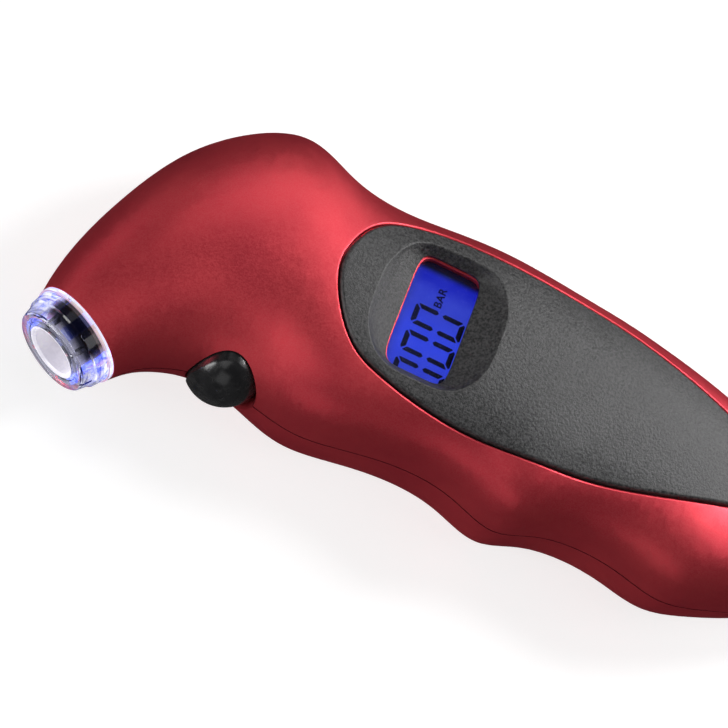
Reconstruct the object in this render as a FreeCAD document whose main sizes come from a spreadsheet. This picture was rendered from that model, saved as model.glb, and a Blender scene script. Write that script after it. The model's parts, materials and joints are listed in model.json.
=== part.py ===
import FreeCAD, Part
import math
import os
import re
import Sketcher

# Digital tyre pressure gauge: a bent, hand-sized casing in two halves with a
# clear lit nozzle, a display under a black front panel, a trigger button in
# the bend and a battery bay in the handle.
#
# Design frame, in millimetres: X runs along the handle from the middle of the
# display to the tail, Y across it towards the crown of the head, Z out of the
# display. The two casing halves meet at Z = 0. Every sub-part is placed by
# SEAT, which moves the gauge onto its flat back, under the middle of its box.

V = FreeCAD.Vector

SIZES = {
    # where the gauge sits
    "seat_x": -13.41, "seat_y": 4.88, "back_z": 15.6,
    # casing
    "wall": 2.2, "tongue_inset": 1.15, "tongue_height": 1.5, "parting_gap": 0.3,
    "boss_radius": 2.6, "pilot_radius": 0.9, "screw_shank": 0.88, "screw_pocket_z": -9.0,
    # front panel and the display well under it
    "panel_proud": 0.45, "panel_inset": 1.3, "panel_gap": 0.3, "panel_edge": 0.7,
    "rim_edge": 0.4, "lip_edge": 0.4, "window_edge": 0.3,
    "well_floor": 11.2, "dish_floor": 12.25, "window_half_x": 6.0, "window_half_y": 10.95,
    "display_x": -0.4, "display_y": -0.5,
    # display stack
    "lcd_half_x": 8.5, "lcd_half_y": 12.7, "lcd_z": 8.0, "glass": 1.1, "lcd_ledge": 1.0,
    "lens_z": 10.3, "lens_thick": 0.85, "lens_radius": 1.5,
    "zebra_width": 1.6, "zebra_half_y": 11.5,
    "light_thick": 2.05, "light_half_x": 6.5, "light_half_y": 11.0,
    # main board
    "board_z": 4.6, "board_thick": 1.2, "board_x0": -25.0, "board_x1": 27.0,
    "board_y0": -12.8, "board_y1": 10.8, "board_corner": 3.0,
    # pressure sensor and hose
    "sensor_x": -19.0, "sensor_y": 0.2, "sensor_half": 4.0, "sensor_low": -2.5, "sensor_high": 2.5,
    "barb_radius": 1.25, "hose_bore": 1.3, "hose_radius": 2.2, "sensor_barb": 4.5,
    # nozzle, measured along its own axis from the casing mouth
    "mouth_x": -54.4, "mouth_y": -25.8, "mouth_bore": 7.95,
    "socket_radius": 4.5, "sleeve_radius": 5.2, "socket_floor": 0.35, "socket_front": 5.9,
    "tip_flange": 9.35, "tip_step": 3.3, "tip_base": 9.0, "tip_front": 7.8, "spigot_radius": 7.85,
    "shank_radius": 4.2, "cup_radius": 5.2, "seal_radius": 4.1, "passage": 1.3,
    "saddle_a": -7.2, "saddle_b": -11.8, "saddle_thick": 1.6,
    "cup_back": -3.4, "seal_back": -2.1, "lamp_board_z": -5.8, "lamp_board_radius": 7.6,
    "lamp_inner": 5.5, "lamp_thick": 1.1, "lamp_width": 2.2, "lamp_top": 4.2,
    # oval trigger, measured along its own axis from the parting line
    "trigger_x": -28.32, "trigger_y": -23.31, "trigger_across": 8.3, "trigger_along": 5.95,
    "trigger_gap": 0.35, "dome_radius": 7.3, "dome_across": 8.7, "dome_centre": -4.15,
    "flange_step": 1.35, "flange_outer": -7.2, "flange_inner": -8.2,
    "switch_half": 3.0, "switch_floor": -13.1, "switch_top": -9.7, "plunger_radius": 1.7,
    # batteries and their door
    "cell_radius": 5.8, "cell_thick": 5.4, "cell_y": -2.5, "cell_z": -7.6, "stack_x": 30.9,
    "tray_x0": 25.0, "tray_x1": 48.7, "tray_half_y": 7.2, "tray_low": -12.9, "tray_top": -0.7,
    "door_x": 38.0, "door_y": -2.5, "door_half_x": 19.0, "door_half_y": 7.5, "door_plate": 0.8,
    "door_outer": -15.45, "plug_x0": 26.0, "plug_x1": 50.0, "plug_half_y": 6.5, "plug_deep": 0.85,
    "ledge_top": -13.0, "door_screw_reach": 15.2,
}

# Casing ribs from the nozzle mouth to the tail. Each rib is a rounded section
# standing on the line from its grip point to its crown point:
# crown x, y, grip x, y, front and back thickness, front and back squareness.
RIBS = [
    (-62.7, -21.2, -46.1, -30.4, 9.5, 9.5, 2.0, 2.0),
    (-60.8, -11.0, -42.5, -27.0, 11.8, 11.8, 2.0, 2.05),
    (-56.6, 0.3, -38.5, -24.8, 13.8, 13.8, 2.02, 2.1),
    (-50.2, 12.0, -34.0, -23.4, 15.2, 15.2, 2.05, 2.2),
    (-41.4, 20.8, -29.0, -23.0, 16.1, 16.1, 2.1, 2.4),
    (-31.5, 24.9, -24.0, -23.7, 16.5, 16.5, 2.2, 2.7),
    (-21.5, 21.4, -18.5, -24.9, 16.5, 16.6, 2.4, 3.1),
    (-12.0, 19.5, -12.0, -25.5, 16.3, 16.5, 2.6, 3.5),
    (-2.5, 19.9, -2.5, -24.0, 16.2, 16.4, 2.75, 3.8),
    (8.0, 20.5, 8.0, -22.8, 16.1, 16.3, 2.85, 4.0),
    (17.0, 20.1, 17.0, -24.0, 16.0, 16.2, 2.9, 4.0),
    (25.5, 19.4, 25.5, -26.1, 15.9, 16.1, 2.9, 4.0),
    (33.0, 18.6, 32.5, -23.8, 15.7, 16.0, 2.9, 4.0),
    (41.0, 17.3, 41.0, -22.4, 15.4, 15.9, 2.9, 3.9),
    (49.5, 15.7, 49.5, -23.2, 15.0, 15.7, 2.85, 3.8),
    (58.0, 13.6, 57.5, -24.6, 14.5, 15.4, 2.8, 3.5),
    (67.0, 10.8, 65.5, -22.8, 13.7, 14.7, 2.7, 3.1),
    (76.0, 7.0, 73.5, -19.6, 12.3, 13.1, 2.5, 2.7),
    (84.0, 2.2, 81.0, -15.6, 9.9, 10.4, 2.3, 2.4),
    (88.8, -2.2, 86.6, -12.0, 6.9, 7.1, 2.1, 2.2),
    (90.8, -5.2, 89.8, -9.0, 2.9, 3.0, 2.0, 2.0),
]
RIB_POINTS = 32

# Front panel outline, anticlockwise from its blunt end round to the tail.
PANEL_OUTLINE = [
    (-19.3, 1.0), (-17.2, -6.0), (-11.8, -12.4), (-5.0, -15.0), (2.0, -16.2), (14.0, -17.1),
    (28.0, -16.5), (42.0, -14.0), (56.0, -9.9), (67.0, -6.2), (73.0, -2.6), (69.0, 0.6),
    (60.0, 5.2), (49.0, 9.4), (35.0, 12.8), (22.0, 14.5), (9.0, 15.0), (-3.4, 14.6),
    (-12.0, 12.3), (-17.0, 8.0),
]

CASING_SCREWS = [(-33.0, 12.0), (-14.0, -18.3), (25.0, 13.6), (72.0, -4.5)]
BOARD_SCREWS = [(-20.5, 7.2), (22.5, -8.0)]

doc = FreeCAD.newDocument("tyre_gauge")


# ---------------------------------------------------------------- spreadsheet

def write_sheet():
    """Put every driving dimension in the spreadsheet, one aliased cell each."""
    sheet = doc.addObject("Spreadsheet::Sheet", "Sizes")
    for row, (name, number) in enumerate(SIZES.items(), 1):
        sheet.set("A%d" % row, name)
        sheet.set("B%d" % row, str(number))
        sheet.setAlias("B%d" % row, name)
    doc.recompute()
    return sheet


SHEET = write_sheet()


def size(name):
    return float(SHEET.get(name))


def formula(text):
    """Turn 'wall * 2' into the expression 'Sizes.wall * 2'."""
    return re.sub(r"[a-z]\w+", r"Sizes.\g<0>", str(text))


def value(text):
    return float(SHEET.evalExpression(formula(text)))


# --------------------------------------------------------------------- frames

SEAT = FreeCAD.Placement(V(size("seat_x"), size("seat_y"), size("back_z")), FreeCAD.Rotation())
NOZZLE_AXIS = V(-0.485, -0.8745, 0)
TRIGGER_AXIS = V(0.139, -0.990, 0)


def axis_frame(x, y, outward):
    """Local Z points outward from (x, y, 0); local X is the display normal."""
    turn = FreeCAD.Rotation(V(0, 0, 1), V(), outward, "ZXY")
    return FreeCAD.Placement(V(x, y, 0), turn)


NOZZLE = axis_frame(size("mouth_x"), size("mouth_y"), NOZZLE_AXIS)
TRIGGER = axis_frame(size("trigger_x"), size("trigger_y"), TRIGGER_AXIS)
ALONG_X = FreeCAD.Rotation(V(0, 1, 0), 90)


# ------------------------------------------------------------ sub-part makers

PARTS = []


def finish(item, label, frame=None):
    """Name a sub-part, seat it in the row frame and list it for export."""
    item.Label = label
    item.Placement = SEAT.multiply(frame) if frame else SEAT
    PARTS.append(item)
    return item


def freeform(label, shape, frame=None):
    """A sub-part made by Part's own functions, in the design frame or a local one."""
    item = doc.addObject("Part::Feature", label)
    item.Shape = shape
    return finish(item, label, frame)


def bind(item, **formulas):
    for prop, text in formulas.items():
        item.setExpression(prop, formula(text))


def move(item, x=0, y=0, z=0):
    for axis, text in zip("xyz", (x, y, z)):
        if text != 0:
            item.setExpression("Placement.Base." + axis, formula(text))


def box(name, x0, x1, y0, y1, z0, z1):
    item = doc.addObject("Part::Box", name)
    span = "(%s) - (%s)"
    bind(item, Length=span % (x1, x0), Width=span % (y1, y0), Height=span % (z1, z0))
    move(item, x0, y0, z0)
    return item


def rod(name, radius, z0, z1, x=0, y=0):
    item = doc.addObject("Part::Cylinder", name)
    bind(item, Radius=radius, Height="(%s) - (%s)" % (z1, z0))
    move(item, x, y, z0)
    return item


def boolean(kind, name, pieces):
    """Part::MultiFuse, MultiCommon or Compound of several objects, or a Cut of two."""
    item = doc.addObject("Part::" + kind, name)
    if kind == "Cut":
        item.Base, item.Tool = pieces
    elif kind == "Compound":
        item.Links = pieces
    else:
        item.Shapes = pieces
    return item


def new_body(name):
    return doc.addObject("PartDesign::Body", name)


def sketch(body, role, name, height=0):
    """An empty sketch on one of the body's own origin planes."""
    plane = [item for item in body.Origin.OriginFeatures if item.Role == role][0]
    drawing = body.newObject("Sketcher::SketchObject", name)
    drawing.AttachmentSupport = (plane, "")
    drawing.MapMode = "FlatFace"
    if height != 0:
        drawing.setExpression("AttachmentOffset.Base.z", formula(height))
    return drawing


def polygon(drawing, corners):
    """Closed outline whose corners are bound to the sheet."""
    points = [V(value(x), value(y), 0) for x, y in corners]
    count = len(points)
    for index in range(count):
        drawing.addGeometry(Part.LineSegment(points[index], points[(index + 1) % count]), False)
    for index in range(count):
        drawing.addConstraint(Sketcher.Constraint("Coincident", index, 2, (index + 1) % count, 1))
    for index, corner in enumerate(corners):
        start = points[index]
        for kind, text, at in (("DistanceX", corner[0], start.x), ("DistanceY", corner[1], start.y)):
            if at == 0:
                on_axis = -2 if kind == "DistanceX" else -1
                drawing.addConstraint(Sketcher.Constraint("PointOnObject", index, 1, on_axis))
            else:
                number = drawing.addConstraint(Sketcher.Constraint(kind, -1, 1, index, 1, at))
                drawing.setExpression("Constraints[%d]" % number, formula(text))


def circle(drawing, x, y, radius):
    at = V(value(x), value(y), 0)
    index = drawing.addGeometry(Part.Circle(at, V(0, 0, 1), value(radius)), False)
    for kind, text, place in (("DistanceX", x, at.x), ("DistanceY", y, at.y)):
        if place == 0:
            axis_line = -2 if kind == "DistanceX" else -1
            drawing.addConstraint(Sketcher.Constraint("PointOnObject", index, 3, axis_line))
        else:
            number = drawing.addConstraint(Sketcher.Constraint(kind, -1, 1, index, 3, place))
            drawing.setExpression("Constraints[%d]" % number, formula(text))
    number = drawing.addConstraint(Sketcher.Constraint("Radius", index, value(radius)))
    drawing.setExpression("Constraints[%d]" % number, formula(radius))


def turned(name, profile):
    """Body turned about Z from a closed (radius, height) outline."""
    body = new_body(name)
    drawing = sketch(body, "XZ_Plane", name + "_profile")
    polygon(drawing, profile)
    feature = body.newObject("PartDesign::Revolution", name + "_turned")
    feature.Profile = drawing
    feature.ReferenceAxis = (drawing, ["V_Axis"])
    feature.Angle = 360
    return body


def pad(body, drawing, name, length):
    feature = body.newObject("PartDesign::Pad", name)
    feature.Profile = drawing
    bind(feature, Length=length)
    return feature


def rectangle(x0, x1, y0, y1):
    return [(x0, y0), (x1, y0), (x1, y1), (x0, y1)]


def upright_edges(shape):
    """Names of the straight edges that run along Z."""
    names = []
    for number, edge in enumerate(shape.Edges, 1):
        start, end = edge.Vertexes[0].Point, edge.Vertexes[-1].Point
        if abs(start.x - end.x) < 1e-6 and abs(start.y - end.y) < 1e-6 and abs(start.z - end.z) > 0.1:
            names.append("Edge%d" % number)
    return names


def plate(name, x0, x1, y0, y1, z0, thick, corner):
    """Rectangular plate with rounded corners."""
    body = new_body(name)
    drawing = sketch(body, "XY_Plane", name + "_outline", z0)
    polygon(drawing, rectangle(x0, x1, y0, y1))
    slab = pad(body, drawing, name + "_pad", thick)
    doc.recompute()
    rounding = body.newObject("PartDesign::Fillet", name + "_corners")
    rounding.Base = (slab, upright_edges(slab.Shape))
    bind(rounding, Radius=corner)
    return body


def screw(name, x, y, head_z, reach, head=2.0, shank=0.95, up=1):
    """Pan-head screw with a cross recess; up = 1 points along +Z, -1 along -Z."""
    top = 1.4
    slot = 0.45
    parts = []
    lower = head_z if up > 0 else head_z - top
    parts.append(rod(name + "_head", head, lower, lower + top, x, y))
    shank_low = head_z + top if up > 0 else head_z - top - reach
    parts.append(rod(name + "_shank", shank, shank_low, shank_low + reach, x, y))
    blank = boolean("MultiFuse", name + "_blank", parts)
    base = lower if up > 0 else lower + top - 0.7
    arms = [
        box(name + "_slot_a", x - 1.2, x + 1.2, y - slot / 2, y + slot / 2, base - 0.01, base + 0.7),
        box(name + "_slot_b", x - slot / 2, x + slot / 2, y - 1.2, y + 1.2, base - 0.01, base + 0.7),
    ]
    recess = boolean("MultiFuse", name + "_recess", arms)
    return boolean("Cut", name, [blank, recess])


# --------------------------------------------------------- freeform geometry

def closed_curve(points):
    """Smooth closed curve through evenly numbered points."""
    curve = Part.BSplineCurve()
    numbers = [float(index) for index in range(len(points) + 1)]
    curve.interpolate(Points=points, PeriodicFlag=True, Parameters=numbers)
    return curve


def squircle(centre, across, up, squareness):
    """Evenly spread points of a superellipse; up and squareness are (upper, lower)."""
    points = []
    for index in range(RIB_POINTS):
        angle = 2 * math.pi * index / RIB_POINTS
        cosine, sine = math.cos(angle), math.sin(angle)
        half = 0 if sine >= 0 else 1
        power = squareness[half]
        reach = (abs(cosine) ** power + abs(sine) ** power) ** (-1 / power)
        points.append(centre + across * (reach * cosine) + up[half] * (reach * sine))
    return points


def skin(sections, stations):
    """Solid with one smooth side surface through closed sections and flat ends."""
    curves = [closed_curve(points) for points in sections]
    columns = []
    for index in range(1, curves[0].NbPoles + 1):
        column = Part.BSplineCurve()
        column.interpolate(Points=[curve.getPole(index) for curve in curves], Parameters=stations)
        columns.append(column)
    first = columns[0]
    poles = [[column.getPole(step) for step in range(1, first.NbPoles + 1)] for column in columns]
    surface = Part.BSplineSurface()
    surface.buildFromPolesMultsKnots(
        poles, curves[0].getMultiplicities(), first.getMultiplicities(), curves[0].getKnots(),
        first.getKnots(), True, False, curves[0].Degree, first.Degree)
    ends = [Part.Face(Part.Wire(curve.toShape())) for curve in (curves[0], curves[-1])]
    shell = Part.makeShell([surface.toShape()] + ends)
    shell.sewShape()
    solid = Part.makeSolid(shell)
    if solid.Volume < 0:
        solid.reverse()
    return solid


def casing_form(inset, rib_count):
    """The casing's outer form pulled in by inset."""
    sections = []
    stations = [0.0]
    middles = []
    for crown_x, crown_y, grip_x, grip_y, front, back, front_power, back_power in RIBS[:rib_count]:
        crown, grip = V(crown_x, crown_y, 0), V(grip_x, grip_y, 0)
        middle = (crown + grip) * 0.5
        half = (crown - grip) * 0.5
        across = half * ((half.Length - inset) / half.Length)
        lift = (V(0, 0, front - inset), V(0, 0, back - inset))
        sections.append(squircle(middle, across, lift, (front_power, back_power)))
        middles.append(middle)
    for start, end in zip(middles, middles[1:]):
        stations.append(stations[-1] + (end - start).Length)
    return skin(sections, stations)


def slab(z0, z1):
    """A block wider and longer than the gauge between two heights."""
    return Part.makeBox(200, 90, z1 - z0, V(-80, -50, z0))


def prism(wire, z0, z1):
    face = Part.Face(wire)
    face.translate(V(0, 0, z0))
    return face.extrude(V(0, 0, z1 - z0))


def panel_wire(offset):
    """The panel's outline, with every point moved out along its own normal."""
    curve = closed_curve([V(x, y, 0) for x, y in PANEL_OUTLINE])
    moved = []
    for index, (x, y) in enumerate(PANEL_OUTLINE):
        tangent = curve.tangent(float(index))[0]
        moved.append(V(x + tangent.y * offset, y - tangent.x * offset, 0))
    return Part.Wire(closed_curve(moved).toShape())


def display_squircle(half_x, half_y, squareness, z):
    centre = V(size("display_x"), size("display_y"), z)
    rise = V(0, half_y, 0)
    return squircle(centre, V(half_x, 0, 0), (rise, rise), (squareness, squareness))


def display_prism(half_x, half_y, squareness, z0, z1, shift=0):
    points = [point + V(shift, 0, 0) for point in display_squircle(half_x, half_y, squareness, 0)]
    return prism(Part.Wire(closed_curve(points).toShape()), z0, z1)


def rounded_rectangle(x, y, half_x, half_y, corner, z0, z1):
    """Upright block with rounded corners, as a hull of four posts and two slabs."""
    height = z1 - z0
    flat_x, flat_y = half_x - corner, half_y - corner
    long_way = Part.makeBox(2 * half_x, 2 * flat_y, height, V(x - half_x, y - flat_y, z0))
    short_way = Part.makeBox(2 * flat_x, 2 * half_y, height, V(x - flat_x, y - half_y, z0))
    block = long_way.fuse(short_way)
    for side in (-1, 1):
        for end in (-1, 1):
            post = V(x + side * (half_x - corner), y + end * (half_y - corner), z0)
            block = block.fuse(Part.makeCylinder(corner, z1 - z0, post))
    return block.removeSplitter()


def stadium(grow, z0, z1):
    """The battery door's long rounded outline, grown on every side."""
    half_y = size("door_half_y") + grow
    half_x = size("door_half_x") + grow
    return rounded_rectangle(size("door_x"), size("door_y"), half_x, half_y, half_y - 0.01, z0, z1)


def round_edge(shape, radius, lengths, lowest, rightmost=99):
    """Fillet the one edge picked by its length, lowest point and reach in X."""
    chosen = []
    for edge in shape.Edges:
        bounds = edge.BoundBox
        right_length = lengths[0] < edge.Length < lengths[1]
        if right_length and lowest[0] < bounds.ZMin < lowest[1] and bounds.XMax < rightmost:
            chosen.append(edge)
    if len(chosen) != 1:
        raise ValueError("expected one edge to round, found %d" % len(chosen))
    return shape.makeFillet(radius, chosen)


def tube(frame, outer, inner, z0, z1):
    """Round tube, or a solid disc when inner is 0, along a frame's own Z."""
    shape = Part.makeCylinder(outer, z1 - z0, V(0, 0, z0))
    if inner:
        shape = shape.cut(Part.makeCylinder(inner, z1 - z0, V(0, 0, z0)))
    shape.Placement = frame
    return shape


def post(x, y, radius, z0, z1):
    return Part.makeCylinder(radius, z1 - z0, V(x, y, z0))


def route_wire(points):
    """Straight runs joined by tangent arcs, each as large as its runs allow."""
    edges = []
    here = points[0]
    for before, corner, after in zip(points, points[1:], points[2:]):
        arrive = (corner - before).normalize()
        leave = (after - corner).normalize()
        turn = arrive.getAngle(leave)
        cut_back = 0.45 * min((corner - before).Length, (after - corner).Length)
        radius = cut_back / math.tan(turn / 2)
        start, end = corner - arrive * cut_back, corner + leave * cut_back
        inward = (leave - arrive).normalize()
        centre = corner + inward * math.hypot(radius, cut_back)
        edges.append(Part.LineSegment(here, start).toShape())
        edges.append(Part.Arc(start, centre - inward * radius, end).toShape())
        here = end
    edges.append(Part.LineSegment(here, points[-1]).toShape())
    return Part.Wire(edges)


def cable(points, radius):
    """Round solid along a route, with its volume compared with section times length."""
    path = route_wire(points)
    heading = (points[1] - points[0]).normalize()
    ring = Part.Wire(Part.Circle(points[0], heading, radius).toShape())
    solid = path.makePipeShell([ring], True, False)
    expected = math.pi * radius ** 2 * path.Length
    if abs(solid.Volume - expected) > 0.02 * expected:
        raise ValueError("cable volume %.2f, expected %.2f" % (solid.Volume, expected))
    return solid


# -------------------------------------------------------------------- casing

OUTER = casing_form(0, len(RIBS))
MIDDLE = casing_form(size("tongue_inset"), len(RIBS) - 1)
INNER = casing_form(size("wall"), len(RIBS) - 2)
PANEL_BED = casing_form(size("panel_inset"), len(RIBS) - 1)
HALF_GAP = size("parting_gap") / 2


def nozzle_saddles():
    """Two walls across the head that hold the nozzle's shank."""
    walls = None
    for start in (size("saddle_a"), size("saddle_b")):
        wall = tube(NOZZLE, 25, size("shank_radius") + 0.05, start - size("saddle_thick"), start)
        walls = wall if walls is None else walls.fuse(wall)
    wire_way = Part.makeCylinder(1.9, 14, V(6.2, 0, -14))
    wire_way.Placement = NOZZLE
    return walls.common(MIDDLE).cut(wire_way)


def trigger_oval(grow, z0, z1):
    """Oval post on the trigger's axis, grown all round from the button's own outline."""
    outline = Part.Ellipse(V(0, 0, z0), size("trigger_across") + grow, size("trigger_along") + grow)
    return Part.Face(Part.Wire(outline.toShape())).extrude(V(0, 0, z1 - z0))


def trigger_collar():
    """Short oval sleeve inside the bend that guides the trigger and stops its flange."""
    collar = trigger_oval(size("trigger_gap") + 1.6, size("flange_outer") + 0.1, -2.4)
    collar.Placement = TRIGGER
    return collar.common(MIDDLE)


def switch_rib():
    """Wall behind the switch board, in the back half only."""
    wall = Part.makeBox(16, 9, 1.2, V(-17, -4.5, -15.6))
    wall.Placement = TRIGGER
    return wall.common(MIDDLE)


def casing_cuts():
    """Holes shared by both halves: nozzle mouth and trigger bore."""
    mouth = tube(NOZZLE, size("mouth_bore"), 0, -5.0, 3.0)
    bore = trigger_oval(size("trigger_gap"), size("flange_outer") - 0.2, 12.0)
    room = trigger_oval(size("flange_step") + 0.3, size("flange_inner") - 0.9, size("flange_outer") + 0.1)
    bore = bore.fuse(room)
    bore.Placement = TRIGGER
    return mouth.fuse(bore)


def front_casing():
    """Display half: display well, screw posts, panel pocket, window and trigger hole."""
    rebate = MIDDLE.common(slab(0, size("tongue_height") + 0.15))
    shell = OUTER.common(slab(HALF_GAP, 40)).cut(INNER).cut(rebate)
    well_half_x, well_half_y = size("window_half_x") + 7.6, size("window_half_y") + 4.95
    well = display_prism(well_half_x, well_half_y, 3.2, size("well_floor"), 16).common(MIDDLE)
    shell = shell.fuse(well)
    for x, y in CASING_SCREWS:
        shell = shell.fuse(post(x, y, size("boss_radius"), HALF_GAP, 16).common(MIDDLE))
    board_top = size("board_z") + size("board_thick")
    for x, y in BOARD_SCREWS:
        shell = shell.fuse(post(x, y, 2.1, board_top, 16).common(PANEL_BED))
    for wall in (nozzle_saddles(), trigger_collar()):
        shell = shell.fuse(wall.common(slab(HALF_GAP, 40)))
    pocket = prism(panel_wire(size("panel_gap")), 5, 25).cut(PANEL_BED)
    window_x, window_y = size("window_half_x"), size("window_half_y")
    dish = display_prism(window_x + 6.1, window_y + 3.4, 3.0, size("dish_floor"), 20)
    window = display_prism(window_x + 0.1, window_y - 0.35, 7.0, 8, 20, 0.45)
    shell = shell.cut(pocket).cut(dish).cut(window).cut(casing_cuts())
    for x, y in CASING_SCREWS:
        shell = shell.cut(post(x, y, size("pilot_radius"), -1, 7.5))
    for x, y in BOARD_SCREWS:
        shell = shell.cut(post(x, y, size("pilot_radius"), 0, 10.8))
    shell = round_edge(shell, size("lip_edge"), (200, 220), (12.4, 14))
    shell = round_edge(shell, size("window_edge"), (55, 65), (12.0, 12.5), 7)
    freeform("front_casing", shell)


def back_casing():
    """Flat-backed half: locating tongue, screw pockets, battery opening and ledge."""
    back = -size("back_z")
    tongue = casing_form(size("tongue_inset") + 0.06, len(RIBS) - 1).common(slab(-1.2, size("tongue_height")))
    shell = OUTER.common(slab(back, -HALF_GAP)).fuse(tongue).cut(INNER)
    for x, y in CASING_SCREWS:
        shell = shell.fuse(post(x, y, size("boss_radius") + 0.5, back + 0.5, -HALF_GAP).common(MIDDLE))
    ledge = stadium(1.6, back + 0.6, size("ledge_top")).common(MIDDLE)
    shell = shell.fuse(ledge)
    for side in (-1, 1):
        x = size("door_x") + side * size("door_screw_reach")
        shell = shell.fuse(post(x, size("door_y"), 2.2, size("ledge_top") - 0.5, -7.5))
    for wall in (nozzle_saddles(), trigger_collar(), switch_rib()):
        shell = shell.fuse(wall.common(slab(back, -HALF_GAP)))
    plug_x = (size("plug_x0") + size("plug_x1")) / 2
    plug_half = (size("plug_x1") - size("plug_x0")) / 2
    opening = rounded_rectangle(plug_x, size("door_y"), plug_half + 0.2, size("plug_half_y") + 0.2, 2.2,
                                back - 1, -10)
    recess = stadium(0.15, back - 1, size("door_outer") + size("door_plate") + 0.05)
    shell = shell.cut(opening).cut(recess).cut(casing_cuts())
    for x, y in CASING_SCREWS:
        shell = shell.cut(post(x, y, 2.2, back - 1, size("screw_pocket_z")))
        shell = shell.cut(post(x, y, 1.2, back - 1, 5))
    for side in (-1, 1):
        x = size("door_x") + side * size("door_screw_reach")
        shell = shell.cut(post(x, size("door_y"), 0.75, back - 1, -8.5))
    freeform("back_casing", shell)


# ------------------------------------------------------- front panel, display

def front_panel():
    """Black inlay over the front, with a dished surround down to the window."""
    proud = OUTER.copy()
    proud.translate(V(0, 0, size("panel_proud")))
    bed = PANEL_BED.copy()
    bed.translate(V(0, 0, 0.08))
    blank = prism(panel_wire(0), 5, 25).common(proud)
    inlay = blank.cut(bed)
    window_x, window_y = size("window_half_x"), size("window_half_y")
    dish = display_prism(window_x + 5.9, window_y + 3.2, 3.0, size("dish_floor") + 0.08, 20)
    inlay = inlay.fuse(dish.common(proud))
    levels = [
        (12.9, window_x, window_y, 7.0), (13.5, window_x + 1.1, window_y + 0.55, 5.5),
        (14.6, window_x + 3.1, window_y + 1.35, 4.0), (15.9, window_x + 4.9, window_y + 2.05, 3.1),
        (17.4, window_x + 6.6, window_y + 2.9, 2.9),
    ]
    sections = [display_squircle(half_x, half_y, power, z) for z, half_x, half_y, power in levels]
    inlay = inlay.cut(skin(sections, [level[0] for level in levels]))
    inlay = inlay.cut(display_prism(window_x, window_y, 7.0, 8, 20)).removeSplitter()
    inlay = round_edge(inlay, size("panel_edge"), (200, 220), (12.5, 14))
    inlay = round_edge(inlay, size("rim_edge"), (75, 90), (14.2, 15.5))
    freeform("front_panel", inlay)


def display_stack():
    """Lens, liquid-crystal glass, backlight and contact strips, front to back."""
    west, east = "display_x - lcd_half_x", "display_x + lcd_half_x"
    south, north = "display_y - lcd_half_y", "display_y + lcd_half_y"
    lens = plate("display_window", west + " + 0.3", east + " - 0.3", south + " + 0.3", north + " - 0.3",
                 "lens_z", "lens_thick", "lens_radius")
    finish(lens, "display_window")
    rear = box("lcd_rear_glass", west, east, south, north, "lcd_z", "lcd_z + glass")
    front = box("lcd_front_glass", west, east, south + " + lcd_ledge", north,
                "lcd_z + glass", "lcd_z + glass * 2")
    finish(boolean("MultiFuse", "lcd_glass", [rear, front]), "lcd_glass")
    board_top = "board_z + board_thick"
    light = plate("backlight", "display_x - light_half_x", "display_x + light_half_x",
                  "display_y - light_half_y", "display_y + light_half_y",
                  board_top + " + 0.1", "light_thick", 0.6)
    finish(light, "backlight_diffuser")
    lamp_end = "display_y - light_half_y - 0.1"
    lamps = [box("backlight_lamp_%d" % number, x - 1.0, x + 1.0, lamp_end + " - 1", lamp_end, board_top,
                 board_top + " + 1.5") for number, x in ((1, -3.5), (2, 2.7))]
    finish(boolean("Compound", "backlight_lamps", lamps), "backlight_lamps")
    strips = []
    for name, edge in (("west_strip", west + " + 0.2"), ("east_strip", east + " - 0.2 - zebra_width")):
        strips.append(box(name, edge, edge + " + zebra_width", "display_y - zebra_half_y",
                          "display_y + zebra_half_y", board_top, "lcd_z"))
    finish(boolean("Compound", "zebra_strips", strips), "zebra_strips")


# --------------------------------------------------------------- electronics

def main_board():
    """Board with rounded corners, drilled for its two screws."""
    body = plate("main_board", "board_x0", "board_x1", "board_y0", "board_y1",
                 "board_z", "board_thick", "board_corner")
    before = "board_z + board_thick"
    doc.recompute()
    solid_volume = body.Shape.Volume
    drawing = sketch(body, "XY_Plane", "board_holes", before)
    for x, y in BOARD_SCREWS:
        circle(drawing, x, y, 1.1)
    holes = body.newObject("PartDesign::Pocket", "board_drilled")
    holes.Profile = drawing
    bind(holes, Length="board_thick * 2")
    doc.recompute()
    if body.Shape.Volume >= solid_volume:
        raise ValueError("the board's screw holes cut nothing")
    finish(body, "main_board")


def board_components():
    """Small parts soldered under the main board, and the sealed controller."""
    blob = doc.addObject("Part::Sphere", "controller_dome")
    blob.Radius = 6.5
    blob_height = 1.7
    move(blob, 11.0, -1.0, "board_z + %s" % (6.5 - blob_height))
    keep = box("controller_space", 4, 18, -8, 6, "board_z - %s" % blob_height, "board_z")
    finish(boolean("MultiCommon", "controller_chip", [blob, keep]), "controller_chip")
    chips = []
    for number in range(8):
        column, row = number % 4, number // 4
        x = 1.0 + 2.6 * column
        y = 6.4 + 2.0 * row
        chips.append(box("chip_part_%d" % number, x - 0.8, x + 0.8, y - 0.5, y + 0.5,
                         "board_z - 0.7", "board_z"))
    can = rod("crystal_can", 1.5, "board_z - 4", "board_z", -4.5, -8.0)
    store = rod("capacitor_can", 2.2, "board_z - 5", "board_z", -9.0, 7.0)
    finish(boolean("Compound", "board_components", chips + [can, store]), "board_components")
    screws = [screw("board_screw_%d" % number, x, y, size("board_z") - 1.4, 5.8, 1.7, size("screw_shank"))
              for number, (x, y) in enumerate(BOARD_SCREWS, 1)]
    finish(boolean("Compound", "board_screws", screws), "board_screws")


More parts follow.
